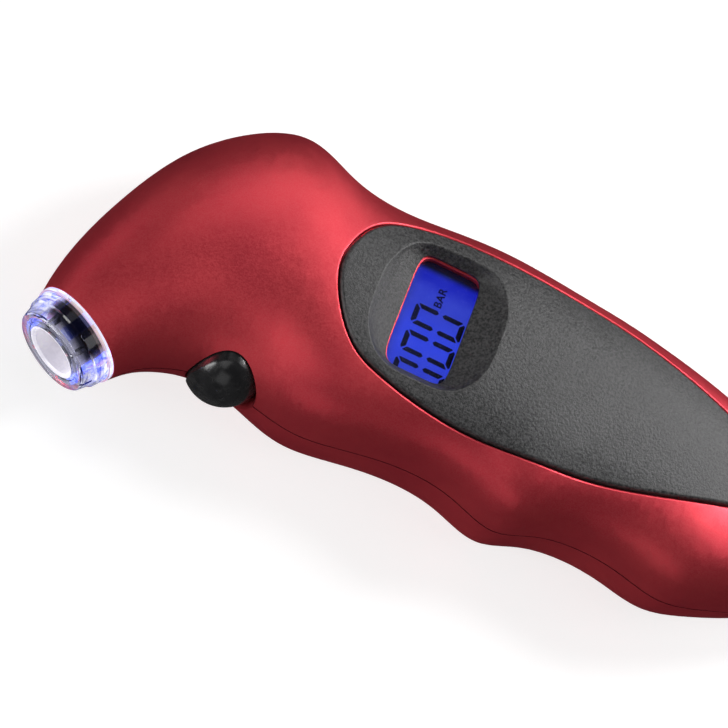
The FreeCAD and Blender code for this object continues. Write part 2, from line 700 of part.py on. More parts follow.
def pressure_sensor():
    """Square sensor case with a side barb and four pins up to the board."""
    case = box("sensor_case", "sensor_x - sensor_half", "sensor_x + sensor_half", "sensor_y - sensor_half",
               "sensor_y + sensor_half", "sensor_low", "sensor_high")
    barb = rod("sensor_port", "barb_radius", 0, "sensor_barb + 0.5")
    barb.Placement.Rotation = FreeCAD.Rotation(V(0, 1, 0), -90)
    move(barb, "sensor_x - sensor_half + 0.5", "sensor_y", 0)
    bore = rod("sensor_bore", 0.6, 0, "sensor_barb + 1")
    bore.Placement.Rotation = FreeCAD.Rotation(V(0, 1, 0), -90)
    move(bore, "sensor_x - sensor_half + 0.5", "sensor_y", 0)
    pins = []
    for number, (side, end) in enumerate(((-1, -1), (-1, 1), (1, -1), (1, 1)), 1):
        x, y = "sensor_x + %s" % (side * 2.6), "sensor_y + %s" % (end * 2.6)
        pins.append(box("sensor_pin_%d" % number, x + " - 0.3", x + " + 0.3", y + " - 0.3", y + " + 0.3",
                        "sensor_high - 0.2", "board_z"))
    solid = boolean("MultiFuse", "sensor_solid", [case, barb] + pins)
    finish(boolean("Cut", "pressure_sensor", [solid, bore]), "pressure_sensor")


def wiring():
    """Hose from nozzle to sensor, and the leads, all along their real routes."""
    nozzle_point = NOZZLE.multVec
    corner_y = size("sensor_y")
    run = (corner_y - size("mouth_y")) / NOZZLE_AXIS.y
    corner = nozzle_point(V(0, 0, run * NOZZLE_AXIS.Length))
    port = V(size("sensor_x") - size("sensor_half") - 0.1, corner_y, 0)
    route = [nozzle_point(V(0, 0, -14.1)), corner, port]
    hose = cable(route, size("hose_radius")).cut(cable(route, size("hose_bore")))
    freeform("air_hose", hose)
    edge_x = size("board_x0")
    level = size("board_z") + size("board_thick") / 2
    lamp_leads = []
    for side in (-0.8, 0.8):
        end_y = 3.0 + side
        lamp_leads.append(cable([
            nozzle_point(V(6.2, side, size("lamp_board_z"))), nozzle_point(V(6.2, side, -24)),
            V(-33, end_y, level), V(edge_x, end_y, level)], 0.5))
    freeform("lamp_leads", Part.makeCompound(lamp_leads))
    switch_leads = []
    for side in (-0.7, 0.7):
        end_y = -4.4 + side
        switch_leads.append(cable([
            TRIGGER.multVec(V(4.2, side, -14.3)), TRIGGER.multVec(V(4.2, side, -17.6 - side)),
            V(-27.8, end_y, level), V(edge_x, end_y, level)], 0.45))
    freeform("switch_leads", Part.makeCompound(switch_leads))
    tab_top = size("tray_top") + 1.3
    plus_x = size("stack_x") + 3 * size("cell_thick") + 0.2
    freeform("battery_lead_red", cable([
        V(plus_x, -1.5, tab_top), V(plus_x, -1.5, level), V(size("board_x1"), -1.5, level)], 0.6))
    minus_x = size("tray_x0") + 1.2
    freeform("battery_lead_black", cable([
        V(minus_x, -5.5, tab_top), V(minus_x, -5.5, size("board_z"))], 0.6))


# -------------------------------------------------------------------- nozzle

def nozzle_tip():
    """Clear flanged tip: outer wall, front face, inner tube and six light ribs."""
    body = turned("nozzle_tip", [
        ("spigot_radius - 0.9", -3), ("spigot_radius", -3), ("spigot_radius", 0.05), ("tip_flange", 0.05),
        ("tip_flange", 0.85), ("tip_base", 0.85), ("tip_base - 0.25", "tip_step - 0.15"),
        ("tip_base - 0.6", "tip_step + 0.1"), ("tip_front", "socket_front - 0.2"),
        ("tip_front - 0.25", "socket_front + 0.05"), ("sleeve_radius + 0.05", "socket_front + 0.05"),
        ("sleeve_radius + 0.05", "lamp_top + 0.2"), ("sleeve_radius + 0.65", "lamp_top + 0.2"),
        ("sleeve_radius + 0.75", 4.9),
        ("spigot_radius - 1.1", 4.9), ("spigot_radius - 0.9", 0)])
    drawing = sketch(body, "XY_Plane", "rib_outline", 3)
    polygon(drawing, rectangle(-0.35, 0.35, "sleeve_radius + 0.5", "spigot_radius - 0.7"))
    rib = pad(body, drawing, "light_rib", 2.2)
    fan = body.newObject("PartDesign::PolarPattern", "light_ribs")
    fan.Originals = [rib]
    fan.Axis = ([item for item in body.Origin.OriginFeatures if item.Role == "Z_Axis"][0], [""])
    fan.Angle = 360
    fan.Occurrences = 6
    body.Tip = fan
    finish(body, "nozzle_tip", NOZZLE)


def nozzle_inside():
    """Sleeve, brass body, rubber seal, pin, ring and lamps behind the clear tip."""
    sleeve = turned("nozzle_sleeve", [
        ("socket_radius", "socket_floor"), ("sleeve_radius", "socket_floor"),
        ("sleeve_radius", "socket_front"), ("socket_radius + 0.35", "socket_front"),
        ("socket_radius", "socket_front - 0.35")])
    finish(sleeve, "nozzle_sleeve", NOZZLE)
    brass = turned("nozzle_body", [
        (0.7, -18.5), ("barb_radius", -18.5), ("barb_radius", -14), ("shank_radius", -14),
        ("shank_radius", "cup_back"), ("cup_radius", "cup_back"), ("cup_radius", 0.3),
        ("seal_radius + 0.05", 0.3), ("seal_radius + 0.05", "seal_back - 0.05"),
        ("passage", "seal_back - 0.05"), ("passage", -13), (0.7, -13.5)])
    finish(brass, "nozzle_body", NOZZLE)
    seal = turned("valve_seal", [
        (1.6, "seal_back"), ("seal_radius", "seal_back"), ("seal_radius", "seal_back + 1.15"),
        (3.2, "seal_back + 1.15"), (2.8, "seal_back + 0.85"), (2.4, "seal_back + 1.4"),
        (1.6, "seal_back + 1.4")])
    finish(seal, "valve_seal", NOZZLE)
    foot = rod("pin_foot", "passage - 0.05", -6, -4.6)
    pin = boolean("MultiFuse", "pin_blank", [foot, rod("pin_rod", 0.75, -6, 0.2)])
    flats = [box("pin_flat_%d" % number, low, high, -2, 2, -6.1, -4.5)
             for number, low, high in ((1, -2, -0.95), (2, 0.95, 2))]
    flattened = boolean("Cut", "flattened_pin", [pin, boolean("Compound", "pin_flats", flats)])
    finish(flattened, "depressor_pin", NOZZLE)
    ring = doc.addObject("Part::Torus", "o_ring_torus")
    bind(ring, Radius1="shank_radius + 0.58")
    ring.Radius2 = 0.55
    ring.Placement.Base = V(0, 0, size("cup_back") - 0.6)
    finish(boolean("Compound", "nozzle_ring", [ring]), "nozzle_o_ring", NOZZLE)
    lamp_board = turned("nozzle_lamp_board", [
        ("shank_radius + 0.7", "lamp_board_z"), ("lamp_board_radius", "lamp_board_z"),
        ("lamp_board_radius", "lamp_board_z + 1"), ("shank_radius + 0.7", "lamp_board_z + 1")])
    finish(lamp_board, "nozzle_lamp_board", NOZZLE)
    lamps = []
    for number, angle in enumerate((2, 122, 242), 1):
        lamp = box("nozzle_lamp_%d" % number, 0, "lamp_thick", 0, "lamp_width",
                   "lamp_board_z + 1", "lamp_top")
        turn = FreeCAD.Rotation(V(0, 0, 1), angle)
        corner = turn.multVec(V(size("lamp_inner"), -size("lamp_width") / 2, 0))
        lamp.Placement = FreeCAD.Placement(corner + V(0, 0, size("lamp_board_z") + 1), turn)
        lamps.append(lamp)
    finish(boolean("Compound", "nozzle_lamps", lamps), "nozzle_lamps", NOZZLE)


# ------------------------------------------------------------------- trigger

def trigger():
    """Domed button with its flange and stem, and the push switch behind it."""
    dome = doc.addObject("Part::Ellipsoid", "dome_ball")
    bind(dome, Radius1="dome_radius", Radius2="dome_across", Radius3="dome_radius")
    move(dome, 0, 0, "dome_centre")
    doc.recompute()
    flange_inner = size("flange_inner")
    skirt = trigger_oval(0, flange_inner, size("dome_centre"))
    cap = dome.Shape.common(trigger_oval(0, size("dome_centre") - 0.5, 4)).fuse(skirt)
    cap = cap.fuse(trigger_oval(size("flange_step"), flange_inner, size("flange_outer")))
    cap = cap.cut(trigger_oval(-1.5, flange_inner - 1, -2.4))
    stem = Part.makeCylinder(1.8, 7.0, V(0, 0, -8.5))
    freeform("trigger_button", cap.fuse(stem).removeSplitter(), TRIGGER)
    finish(boolean("Compound", "plunger_group", [rod("plunger", "plunger_radius", -10.9, -8.55)]),
           "switch_plunger", TRIGGER)
    case = box("switch_case", "-switch_half", "switch_half", "-switch_half", "switch_half",
               "switch_floor", "switch_top")
    well = rod("switch_well", "plunger_radius + 0.08", "switch_floor + 0.7", "switch_top + 1")
    finish(boolean("Cut", "switch_body", [case, well]), "switch_body", TRIGGER)
    dome_plate = turned("switch_snap_dome", [
        (0, -11.65), (0.8, -11.75), (1.6, -12.15), (1.6, -12.35), (0.8, -11.95), (0, -11.85)])
    finish(dome_plate, "switch_snap_dome", TRIGGER)
    board = plate("switch_board", -6, 6, -4.5, 4.5, "switch_floor - 1.2", 1.2, 1.0)
    finish(board, "switch_board", TRIGGER)


# ----------------------------------------------------------------- batteries

def battery_bay():
    """Tray, three button cells, contacts and spring above the door opening."""
    low_y, high_y = "cell_y - tray_half_y", "cell_y + tray_half_y"
    block = box("tray_block", "tray_x0", "tray_x1", low_y, high_y, "tray_low", "tray_top")
    channel = rod("tray_channel", "cell_radius + 0.2", 0, "tray_x1 - tray_x0 - 2")
    channel.Placement.Rotation = ALONG_X
    move(channel, "tray_x0 + 1", "cell_y", "cell_z")
    mouth = box("tray_mouth", "tray_x0 + 1", "tray_x1 - 1", "cell_y - cell_radius - 0.2",
                "cell_y + cell_radius + 0.2", "tray_low - 1", "cell_z")
    slots = [box("tab_slot_%d" % number, x, x + " + 0.5", y - 1.3, y + 1.3, -4, "tray_top + 1")
             for number, x, y in ((1, "tray_x0 + 1", -5.5), (2, "tray_x1 - 1.6", -1.5))]
    space = boolean("MultiFuse", "tray_space", [channel, mouth] + slots)
    finish(boolean("Cut", "battery_tray", [block, space]), "battery_tray")
    cells = []
    for number in range(3):
        can = rod("cell_can_%d" % number, "cell_radius", 0, "cell_thick - 0.45")
        cap = rod("cell_cap_%d" % number, "cell_radius - 1", 0, "cell_thick")
        cell = boolean("MultiFuse", "cell_%d" % number, [can, cap])
        cell.Placement.Rotation = ALONG_X.inverted()
        move(cell, "stack_x + cell_thick * %d" % (number + 1), "cell_y", "cell_z")
        cells.append(cell)
    finish(boolean("Compound", "cells", cells), "battery_cells")
    plates = []
    plus_x = "stack_x + cell_thick * 3 + 0.05"
    for name, x, y in (("minus", "tray_x0 + 1.05", -5.5), ("plus", plus_x, -1.5)):
        face = box(name + "_plate", x, x + " + 0.3", "cell_y - 4.4", "cell_y + 4.4",
                   "cell_z - 4", "cell_z + 3")
        tab = box(name + "_tab", x, x + " + 0.3", y - 1, y + 1, "cell_z + 2", "tray_top + 1.3")
        plates.append(boolean("MultiFuse", name + "_contact", [face, tab]))
    finish(boolean("Compound", "contacts", plates), "battery_contacts")
    spring_x = size("tray_x0") + 1.65
    length = size("stack_x") - spring_x - 0.35
    turns, steps, wire = 3, 16, 0.25
    loops = []
    for step in range(turns * steps + 1):
        share = step / (turns * steps)
        outward = FreeCAD.Rotation(V(0, 0, 1), 360 * step / steps).multVec(V(1, 0, 0))
        centre = outward * (3.4 - 1.0 * share) + V(0, 0, length * share)
        rise = V(0, 0, wire)
        loops.append(squircle(centre, outward * wire, (rise, rise), (2, 2)))
    spring = skin(loops, [float(step) for step in range(len(loops))])
    seat = FreeCAD.Placement(V(spring_x, size("cell_y"), size("cell_z")), ALONG_X)
    freeform("battery_spring", spring, seat)


def battery_door():
    """Long rounded lid, flush in the flat back, with a plug and two screws."""
    outer = size("door_outer")
    inner = outer + size("door_plate")
    plug_x = (size("plug_x0") + size("plug_x1")) / 2
    plug_half = (size("plug_x1") - size("plug_x0")) / 2
    lid = stadium(0, outer, inner)
    plug = rounded_rectangle(plug_x, size("door_y"), plug_half, size("plug_half_y"), 2, inner - 0.1,
                             inner + size("plug_deep"))
    lid = lid.fuse(plug)
    screws = []
    for number, side in enumerate((-1, 1), 1):
        x = size("door_x") + side * size("door_screw_reach")
        lid = lid.cut(post(x, size("door_y"), 1.0, outer - 1, 0))
        lid = lid.cut(Part.makeCone(2.1, 1.0, 0.6, V(x, size("door_y"), outer)))
        shank = post(x, size("door_y"), 0.7, outer, -9.2)
        head = Part.makeCone(1.95, 0.7, 0.62, V(x, size("door_y"), outer + 0.04))
        recess = Part.makeBox(2.0, 0.4, 0.45, V(x - 1.0, size("door_y") - 0.2, outer - 0.05))
        cross = Part.makeBox(0.4, 2.0, 0.45, V(x - 0.2, size("door_y") - 1.0, outer - 0.05))
        screws.append(shank.fuse(head).cut(recess).cut(cross))
    grip = Part.makeBox(0.7, 8, 0.35, V(-0.35, -4, outer - 0.01))
    for step in range(5):
        bar = grip.copy()
        bar.translate(V(size("door_x") - 4.4 + 2.2 * step, size("door_y"), 0))
        lid = lid.cut(bar)
    freeform("battery_door", lid.removeSplitter())
    freeform("battery_door_screws", Part.makeCompound(screws))


def casing_screws():
    head_z = size("screw_pocket_z") - 1.4
    screws = [screw("casing_screw_%d" % number, x, y, head_z, 15, 1.95, size("screw_shank"))
              for number, (x, y) in enumerate(CASING_SCREWS, 1)]
    finish(boolean("Compound", "case_screws", screws), "casing_screws")


# --------------------------------------------------------------------- build

def check_and_export():
    """Refuse a failed object or a bad solid, then write one file per sub-part."""
    doc.recompute()
    for item in doc.Objects:
        if "Invalid" in item.State or "Error" in item.State:
            raise ValueError("%s failed: %s" % (item.Name, item.State))
    for item in PARTS:
        if item.Shape.isNull() or not item.Shape.isValid() or not item.Shape.Solids:
            raise ValueError("%s has no valid solid" % item.Label)
    os.makedirs("parts", exist_ok=True)
    for item in PARTS:
        item.Shape.exportStep("parts/%s.step" % item.Label)
        print("%-20s %2d solid(s) %9.2f mm3" % (item.Label, len(item.Shape.Solids), item.Shape.Volume))


def main():
    front_casing()
    back_casing()
    front_panel()
    display_stack()
    main_board()
    board_components()
    pressure_sensor()
    wiring()
    nozzle_tip()
    nozzle_inside()
    trigger()
    battery_bay()
    battery_door()
    casing_screws()
    check_and_export()


main()
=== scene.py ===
import json
import math

import bmesh
import bpy
from mathutils import Matrix, Vector

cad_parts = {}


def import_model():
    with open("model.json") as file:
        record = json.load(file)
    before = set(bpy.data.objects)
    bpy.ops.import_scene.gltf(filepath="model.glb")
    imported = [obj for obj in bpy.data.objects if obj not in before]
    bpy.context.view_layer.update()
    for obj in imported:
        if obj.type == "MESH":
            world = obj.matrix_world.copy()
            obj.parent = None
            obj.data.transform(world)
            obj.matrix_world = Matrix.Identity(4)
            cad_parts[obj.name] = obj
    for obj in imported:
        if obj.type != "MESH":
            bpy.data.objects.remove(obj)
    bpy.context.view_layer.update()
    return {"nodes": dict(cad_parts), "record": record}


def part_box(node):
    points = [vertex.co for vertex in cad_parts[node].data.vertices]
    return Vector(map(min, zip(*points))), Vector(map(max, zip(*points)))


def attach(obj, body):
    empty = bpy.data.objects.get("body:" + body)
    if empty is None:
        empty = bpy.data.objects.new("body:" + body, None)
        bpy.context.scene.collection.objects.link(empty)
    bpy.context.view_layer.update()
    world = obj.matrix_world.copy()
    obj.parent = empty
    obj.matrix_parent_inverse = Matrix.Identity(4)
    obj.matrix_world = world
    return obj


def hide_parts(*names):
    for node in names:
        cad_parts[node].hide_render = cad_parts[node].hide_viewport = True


# Looks for the digital tyre gauge: smooth painted casing, sandy black panel,
# lit display, clear nozzle with its lamps, and everything inside.
# Colours are linear RGB; a (low, high) pair of roughness is spread over a texture.

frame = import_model()
MM = 0.001
RECORD = frame["record"]
SLOT_OF = {part["node"]: part["material_slot"] for part in RECORD["subparts"]}
BODY_OF = {node: body for body, nodes in RECORD["behaviour"]["bodies"].items() for node in nodes}

SOCKET = next(mount for mount in RECORD["mounts"] if mount["name"] == "valve_socket")
NOZZLE_AXIS = Vector(SOCKET["axis"]).normalized()
NOZZLE_UP = Vector((0, 0, 1))
NOZZLE_SIDE = NOZZLE_AXIS.cross(NOZZLE_UP)
SOCKET_MIDDLE = Vector(SOCKET["pos_m"])
PARTING_HEIGHT = SOCKET_MIDDLE.z


# ------------------------------------------------------------------ materials

# Places of the colour sockets on a Mix node.
MIX_COLOUR_A = 6
MIX_COLOUR_B = 7
MIX_COLOUR_OUT = 2


class Surface:
    """One procedural material: a Principled shader fed from textures in row-frame metres."""

    def __init__(self, name):
        self.material = bpy.data.materials.new(name)
        self.material.use_nodes = True
        self.tree = self.material.node_tree
        self.shader = self.tree.nodes["Principled BSDF"]
        self.place = self.tree.nodes.new("ShaderNodeTexCoord").outputs["Object"]

    def join(self, source, target):
        """Link a socket to an input, or set the input to a plain value."""
        if isinstance(source, bpy.types.NodeSocket):
            self.tree.links.new(source, target)
        else:
            target.default_value = source

    def set(self, **inputs):
        """Join sources to the shader's inputs, named with underscores for spaces."""
        for name, source in inputs.items():
            self.join(source, self.shader.inputs[name.replace("_", " ")])

    def stretched(self, x, y, z):
        """Position scaled by a factor along each axis."""
        node = self.tree.nodes.new("ShaderNodeMapping")
        self.join(self.place, node.inputs["Vector"])
        node.inputs["Scale"].default_value = (x, y, z)
        return node.outputs["Vector"]

    def noise(self, size_mm, detail=2.0, roughness=0.5, distortion=0.0, at=None):
        """Soft noise whose blobs are about one size across."""
        node = self.tree.nodes.new("ShaderNodeTexNoise")
        self.join(at or self.place, node.inputs["Vector"])
        node.inputs["Scale"].default_value = 1.0 / (size_mm * MM)
        node.inputs["Detail"].default_value = detail
        node.inputs["Roughness"].default_value = roughness
        node.inputs["Distortion"].default_value = distortion
        return node.outputs["Fac"]

    def cells(self, size_mm, output="Distance", feature="F1"):
        """Irregular cells about one size across."""
        node = self.tree.nodes.new("ShaderNodeTexVoronoi")
        node.feature = feature
        self.join(self.place, node.inputs["Vector"])
        node.inputs["Scale"].default_value = 1.0 / (size_mm * MM)
        return node.outputs[output]

    def math(self, operation, first, second=0.0, third=0.0, clamp=False):
        """Result of one arithmetic step on sockets or plain numbers."""
        node = self.tree.nodes.new("ShaderNodeMath")
        node.operation = operation
        node.use_clamp = clamp
        for source, target in zip((first, second, third), node.inputs):
            self.join(source, target)
        return node.outputs[0]

    def spread(self, source, low, high, new_low=0.0, new_high=1.0):
        """Map a stretch of a texture onto a new range, smoothly and clamped."""
        node = self.tree.nodes.new("ShaderNodeMapRange")
        node.interpolation_type = "SMOOTHSTEP"
        for number, given in enumerate((source, low, high, new_low, new_high)):
            self.join(given, node.inputs[number])
        return node.outputs["Result"]

    def along(self, direction, origin=(0, 0, 0)):
        """Distance in metres along a direction from a point."""
        shift = self.tree.nodes.new("ShaderNodeVectorMath")
        shift.operation = "SUBTRACT"
        self.join(self.place, shift.inputs[0])
        shift.inputs[1].default_value = origin
        node = self.tree.nodes.new("ShaderNodeVectorMath")
        node.operation = "DOT_PRODUCT"
        self.join(shift.outputs[0], node.inputs[0])
        node.inputs[1].default_value = direction
        return node.outputs["Value"]

    def mix(self, amount, first, second):
        """Blend two colours, given as RGB or as sockets."""
        node = self.tree.nodes.new("ShaderNodeMix")
        node.data_type = "RGBA"
        self.join(amount, node.inputs["Factor"])
        for source, number in ((first, MIX_COLOUR_A), (second, MIX_COLOUR_B)):
            colour = source if isinstance(source, bpy.types.NodeSocket) else (*source, 1.0)
            self.join(colour, node.inputs[number])
        return node.outputs[MIX_COLOUR_OUT]

    def bump(self, height, depth_mm, strength=1.0, over=None):
        """Surface normal from a height texture, laid over another bump if one is given."""
        node = self.tree.nodes.new("ShaderNodeBump")
        node.inputs["Strength"].default_value = strength
        node.inputs["Distance"].default_value = depth_mm * MM
        self.join(height, node.inputs["Height"])
        if over is not None:
            self.join(over, node.inputs["Normal"])
        return node.outputs["Normal"]


# How much of a plain material's variation is blotches; the rest is grain.
BLOTCH_SHARE = 0.65


def plain_surface(name, dark, light, rough, grain_mm=0.5, grain_depth=0.01, metallic=0.0, blotch_mm=9.0,
                  specular=0.5, stretch=None):
    """Moulded, sheet or machined material: grain in the bump, blotches in colour and roughness."""
    surface = Surface(name)
    at = surface.stretched(*stretch) if stretch else None
    blotch = surface.noise(blotch_mm, 4.0, 0.6)
    grain = surface.noise(grain_mm, 3.0, 0.55, at=at)
    fine_share = surface.math("MULTIPLY", grain, 1.0 - BLOTCH_SHARE)
    both = surface.math("MULTIPLY_ADD", blotch, BLOTCH_SHARE, fine_share)
    tone = surface.mix(surface.spread(both, 0.3, 0.7), dark, light)
    surface.set(Base_Color=tone, Metallic=metallic, Roughness=surface.spread(both, 0.25, 0.75, *rough),
                Specular_IOR_Level=specular, Normal=surface.bump(grain, grain_depth))
    return surface


def red_paint():
    """Satin metallic coat: fine flakes under a soft clear layer, with painted shade along the parting line.
    """
    surface = Surface("red_paint")
    flake = surface.cells(0.16, "Color")
    flake_tone = surface.tree.nodes.new("ShaderNodeSeparateColor")
    surface.join(flake, flake_tone.inputs[0])
    fleck = flake_tone.outputs[0]
    drift = surface.noise(22.0, 3.0, 0.5)
    speck = surface.noise(0.45, 3.0, 0.6)
    deep = surface.mix(surface.spread(drift, 0.3, 0.7), (0.70, 0.046, 0.070), (0.82, 0.066, 0.086))
    tone = surface.mix(surface.math("MULTIPLY", fleck, 0.14), deep, (0.92, 0.26, 0.26))
    # Painted shade: within a quarter millimetre of the parting line the paint turns near black, standing in
    # for the shade in the gap between the halves.
    seam = surface.math("ABSOLUTE", surface.along((0, 0, 1), (0, 0, PARTING_HEIGHT)))
    tone = surface.mix(surface.spread(seam, 0.09 * MM, 0.24 * MM, 0.95, 0.0), tone, (0.03, 0.004, 0.006))
    grain = surface.bump(speck, 0.002, 0.4)
    peel = surface.bump(surface.noise(3.2, 2.0, 0.4), 0.008, 0.3, grain)
    surface.set(Base_Color=tone, Metallic=0.84, Normal=peel, Coat_Weight=0.16, Coat_Roughness=0.42,
                Specular_Tint=(0.62, 0.26, 0.40, 1.0),
                Roughness=surface.spread(surface.math("ADD", fleck, drift), 0.6, 1.4, 0.38, 0.47))
    return surface


def black_panel():
    """Black moulded inlay with a fine sandy texture."""
    surface = Surface("black_panel")
    sand = surface.noise(0.46, 4.0, 0.7)
    pits = surface.cells(0.52)
    drift = surface.noise(14.0, 3.0, 0.5)
    tone = surface.mix(surface.spread(sand, 0.35, 0.65), (0.002, 0.002, 0.003), (0.070, 0.069, 0.070))
    tone = surface.mix(surface.spread(drift, 0.35, 0.7, 0.0, 0.25), tone, (0.028, 0.028, 0.029))
    rough_ground = surface.bump(sand, 0.12, 1.0)
    surface.set(Base_Color=tone, Normal=surface.bump(pits, 0.03, 0.6, rough_ground), Specular_IOR_Level=0.56,
                Roughness=surface.spread(sand, 0.3, 0.7, 0.36, 0.52))
    return surface


def lit_glass():
    """Liquid crystal glass lit blue from behind, dimmer towards its edges, with a painted shadow along its
    top under the window's wall.
    """
    low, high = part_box("lcd_glass")
    centre = (low + high) / 2
    surface = Surface("lcd_glass")
    across = surface.along((1, 0, 0), centre)
    up = surface.along((0, 1, 0), centre)
    top = surface.spread(up, 4.5 * MM, 8.4 * MM)
    tone = surface.mix(top, (0.034, 0.055, 0.62), (0.008, 0.014, 0.50))
    off_lamps = surface.math("ABSOLUTE", surface.math("ADD", up, 3.5 * MM))
    glow_band = surface.spread(off_lamps, 1.0 * MM, 7.0 * MM, 1.0, 0.0)
    tone = surface.mix(surface.math("MULTIPLY", glow_band, 0.6), tone, (0.034, 0.070, 0.92))
    edge = surface.spread(surface.math("MULTIPLY", across, -1.0), 3.6 * MM, 6.0 * MM, 0.0, 0.75)
    tone = surface.mix(edge, tone, (0.034, 0.040, 0.30))
    cloud = surface.noise(2.6, 2.0, 0.5)
    tone = surface.mix(surface.spread(cloud, 0.35, 0.75, 0.0, 0.10), tone, (0.08, 0.12, 0.80))
    # Painted shadow: a band 8.5 to 10 mm above the middle of the glass turns near black, under the window's
    # top wall.
    tone = surface.mix(surface.spread(up, 8.5 * MM, 10.0 * MM), tone, (0.003, 0.003, 0.008))
    face = surface.spread(surface.along((0, 0, 1), high), -0.9 * MM, -0.1 * MM, 0.1, 0.9)
    surface.set(Base_Color=(0.01, 0.015, 0.08, 1.0), Roughness=surface.spread(cloud, 0.3, 0.7, 0.06, 0.12),
                Specular_IOR_Level=0.08, Emission_Color=tone, Emission_Strength=face)
    return surface


def clear_plastic(name, tint, rough, glow=None):
    """Transparent moulding with faint flow marks; glow adds light of its own, and without it gloss is low."""
    surface = Surface(name)
    flow = surface.noise(3.5, 3.0, 0.5, 0.8)
    paler = tuple(min(1.0, part + 0.05) for part in tint)
    tone = surface.mix(surface.spread(flow, 0.35, 0.65), tint, paler)
    surface.set(Base_Color=tone, Transmission_Weight=1.0, IOR=1.49, Normal=surface.bump(flow, 0.02, 0.25),
                Roughness=surface.spread(flow, 0.3, 0.7, rough * 0.6, rough * 1.4))
    if glow:
        glow(surface)
    else:
        surface.set(Specular_IOR_Level=0.06)
    return surface


def nozzle_glow(surface):
    """White light in the flange, and blue light gathered on both sides of a dark band behind it."""
    side = surface.math("ABSOLUTE", surface.along(NOZZLE_SIDE, SOCKET_MIDDLE))
    reach = surface.along(NOZZLE_AXIS, SOCKET_MIDDLE)
    drift = surface.noise(1.9, 3.0, 0.6, 1.2)
    flange = surface.spread(reach, -2.12 * MM, -2.02 * MM, 1.0, 0.0)
    flank = surface.spread(side, 4.6 * MM, 6.4 * MM)
    band = surface.math("SUBTRACT", surface.spread(reach, 0.1 * MM, 0.6 * MM, 1.0, 0.0), flange, clamp=True)
    blue_here = surface.math("MULTIPLY", surface.math("MULTIPLY", flank, surface.spread(drift, 0.42, 0.58)),
                             surface.math("MULTIPLY_ADD", band, 0.55, 0.45))
    # Darker band behind the flange, away from the flanks: the base colour turns near black there.
    band_fade = surface.math("SUBTRACT", surface.spread(reach, 0.4 * MM, 2.8 * MM, 1.0, 0.0), flange, clamp=True)
    dark_band = surface.math("MULTIPLY", surface.math("SUBTRACT", 1.0, flank), band_fade)
    clear = surface.mix(surface.spread(drift, 0.35, 0.65), (0.80, 0.82, 0.97), (0.92, 0.93, 1.0))
    # Painted blue light: the base colour itself turns blue where the lamps' light gathers, as well as the
    # glow.
    tint = surface.mix(blue_here, clear, (0.10, 0.15, 0.90))
    tint = surface.mix(dark_band, tint, (0.012, 0.012, 0.022))
    glow = surface.mix(flange, (0.05, 0.08, 0.90), (0.80, 0.80, 0.93))
    blue_level = surface.math("MULTIPLY", blue_here, 0.14)
    level = surface.math("MULTIPLY_ADD", flange, 0.24, blue_level)
    surface.set(Base_Color=tint, Emission_Color=glow, Emission_Strength=level)


def glowing_sleeve():
    """Pale grey sleeve with a painted glow for the lamps' light from behind."""
    surface = Surface("grey_sleeve")
    drift = surface.noise(4.0, 3.0, 0.5)
    grain = surface.noise(0.7, 2.0, 0.5)
    reach = surface.along(NOZZLE_AXIS, SOCKET_MIDDLE)
    tone = surface.mix(surface.spread(drift, 0.3, 0.7), (0.60, 0.58, 0.66), (0.74, 0.72, 0.79))
    # Painted glow: the sleeve gives off light of its own tone, stronger towards the tip end.
    surface.set(Base_Color=tone, Roughness=surface.spread(grain, 0.3, 0.7, 0.22, 0.34), Emission_Color=tone,
                Emission_Strength=surface.spread(reach, -3.0 * MM, 1.5 * MM, 0.25, 0.42),
                Normal=surface.bump(grain, 0.006))
    return surface


def lamp_resin():
    """Lamp cases: pale resin, lit blue inside."""
    surface = Surface("lamp_case")
    grain = surface.noise(0.8, 2.0, 0.5)
    tone = surface.mix(surface.spread(grain, 0.3, 0.7), (0.66, 0.68, 0.78), (0.84, 0.85, 0.92))
    side = surface.along(NOZZLE_SIDE, SOCKET_MIDDLE)
    lit = surface.spread(surface.math("ABSOLUTE", side), 1.4 * MM, 3.5 * MM, 0.30, 2.2)
    blue = surface.mix(surface.spread(grain, 0.4, 0.7), (0.08, 0.14, 1.0), (0.3, 0.36, 1.0))
    surface.set(Base_Color=tone, Roughness=surface.spread(grain, 0.3, 0.7, 0.18, 0.3), Emission_Color=blue,
                Emission_Strength=lit)
    return surface


def gloss_black():
    """Polished black moulding with faint swirls."""
    surface = Surface("black_button")
    swirl = surface.noise(2.2, 4.0, 0.6, 0.6)
    tone = surface.mix(surface.spread(swirl, 0.35, 0.65), (0.010, 0.010, 0.011), (0.020, 0.020, 0.021))
    surface.set(Base_Color=tone, Roughness=surface.spread(swirl, 0.3, 0.7, 0.20, 0.30),
                Specular_IOR_Level=0.5, Coat_Weight=0.25, Coat_Roughness=0.16,
                Normal=surface.bump(swirl, 0.01, 0.12))
    return surface


def circuit_board():
    """Green solder mask with lighter tracks."""
    surface = Surface("circuit_board")
    tracks = surface.cells(1.8, feature="DISTANCE_TO_EDGE")
    line = surface.spread(tracks, 0.04, 0.12, 1.0, 0.0)
    weave = surface.noise(0.5, 2.0, 0.5)
    tone = surface.mix(surface.spread(weave, 0.3, 0.7), (0.010, 0.085, 0.035), (0.016, 0.13, 0.05))
    tone = surface.mix(surface.math("MULTIPLY", line, 0.7), tone, (0.05, 0.26, 0.10))
    surface.set(Base_Color=tone, Roughness=surface.spread(weave, 0.3, 0.7, 0.28, 0.42),
                Normal=surface.bump(line, 0.03, 0.6))
    return surface


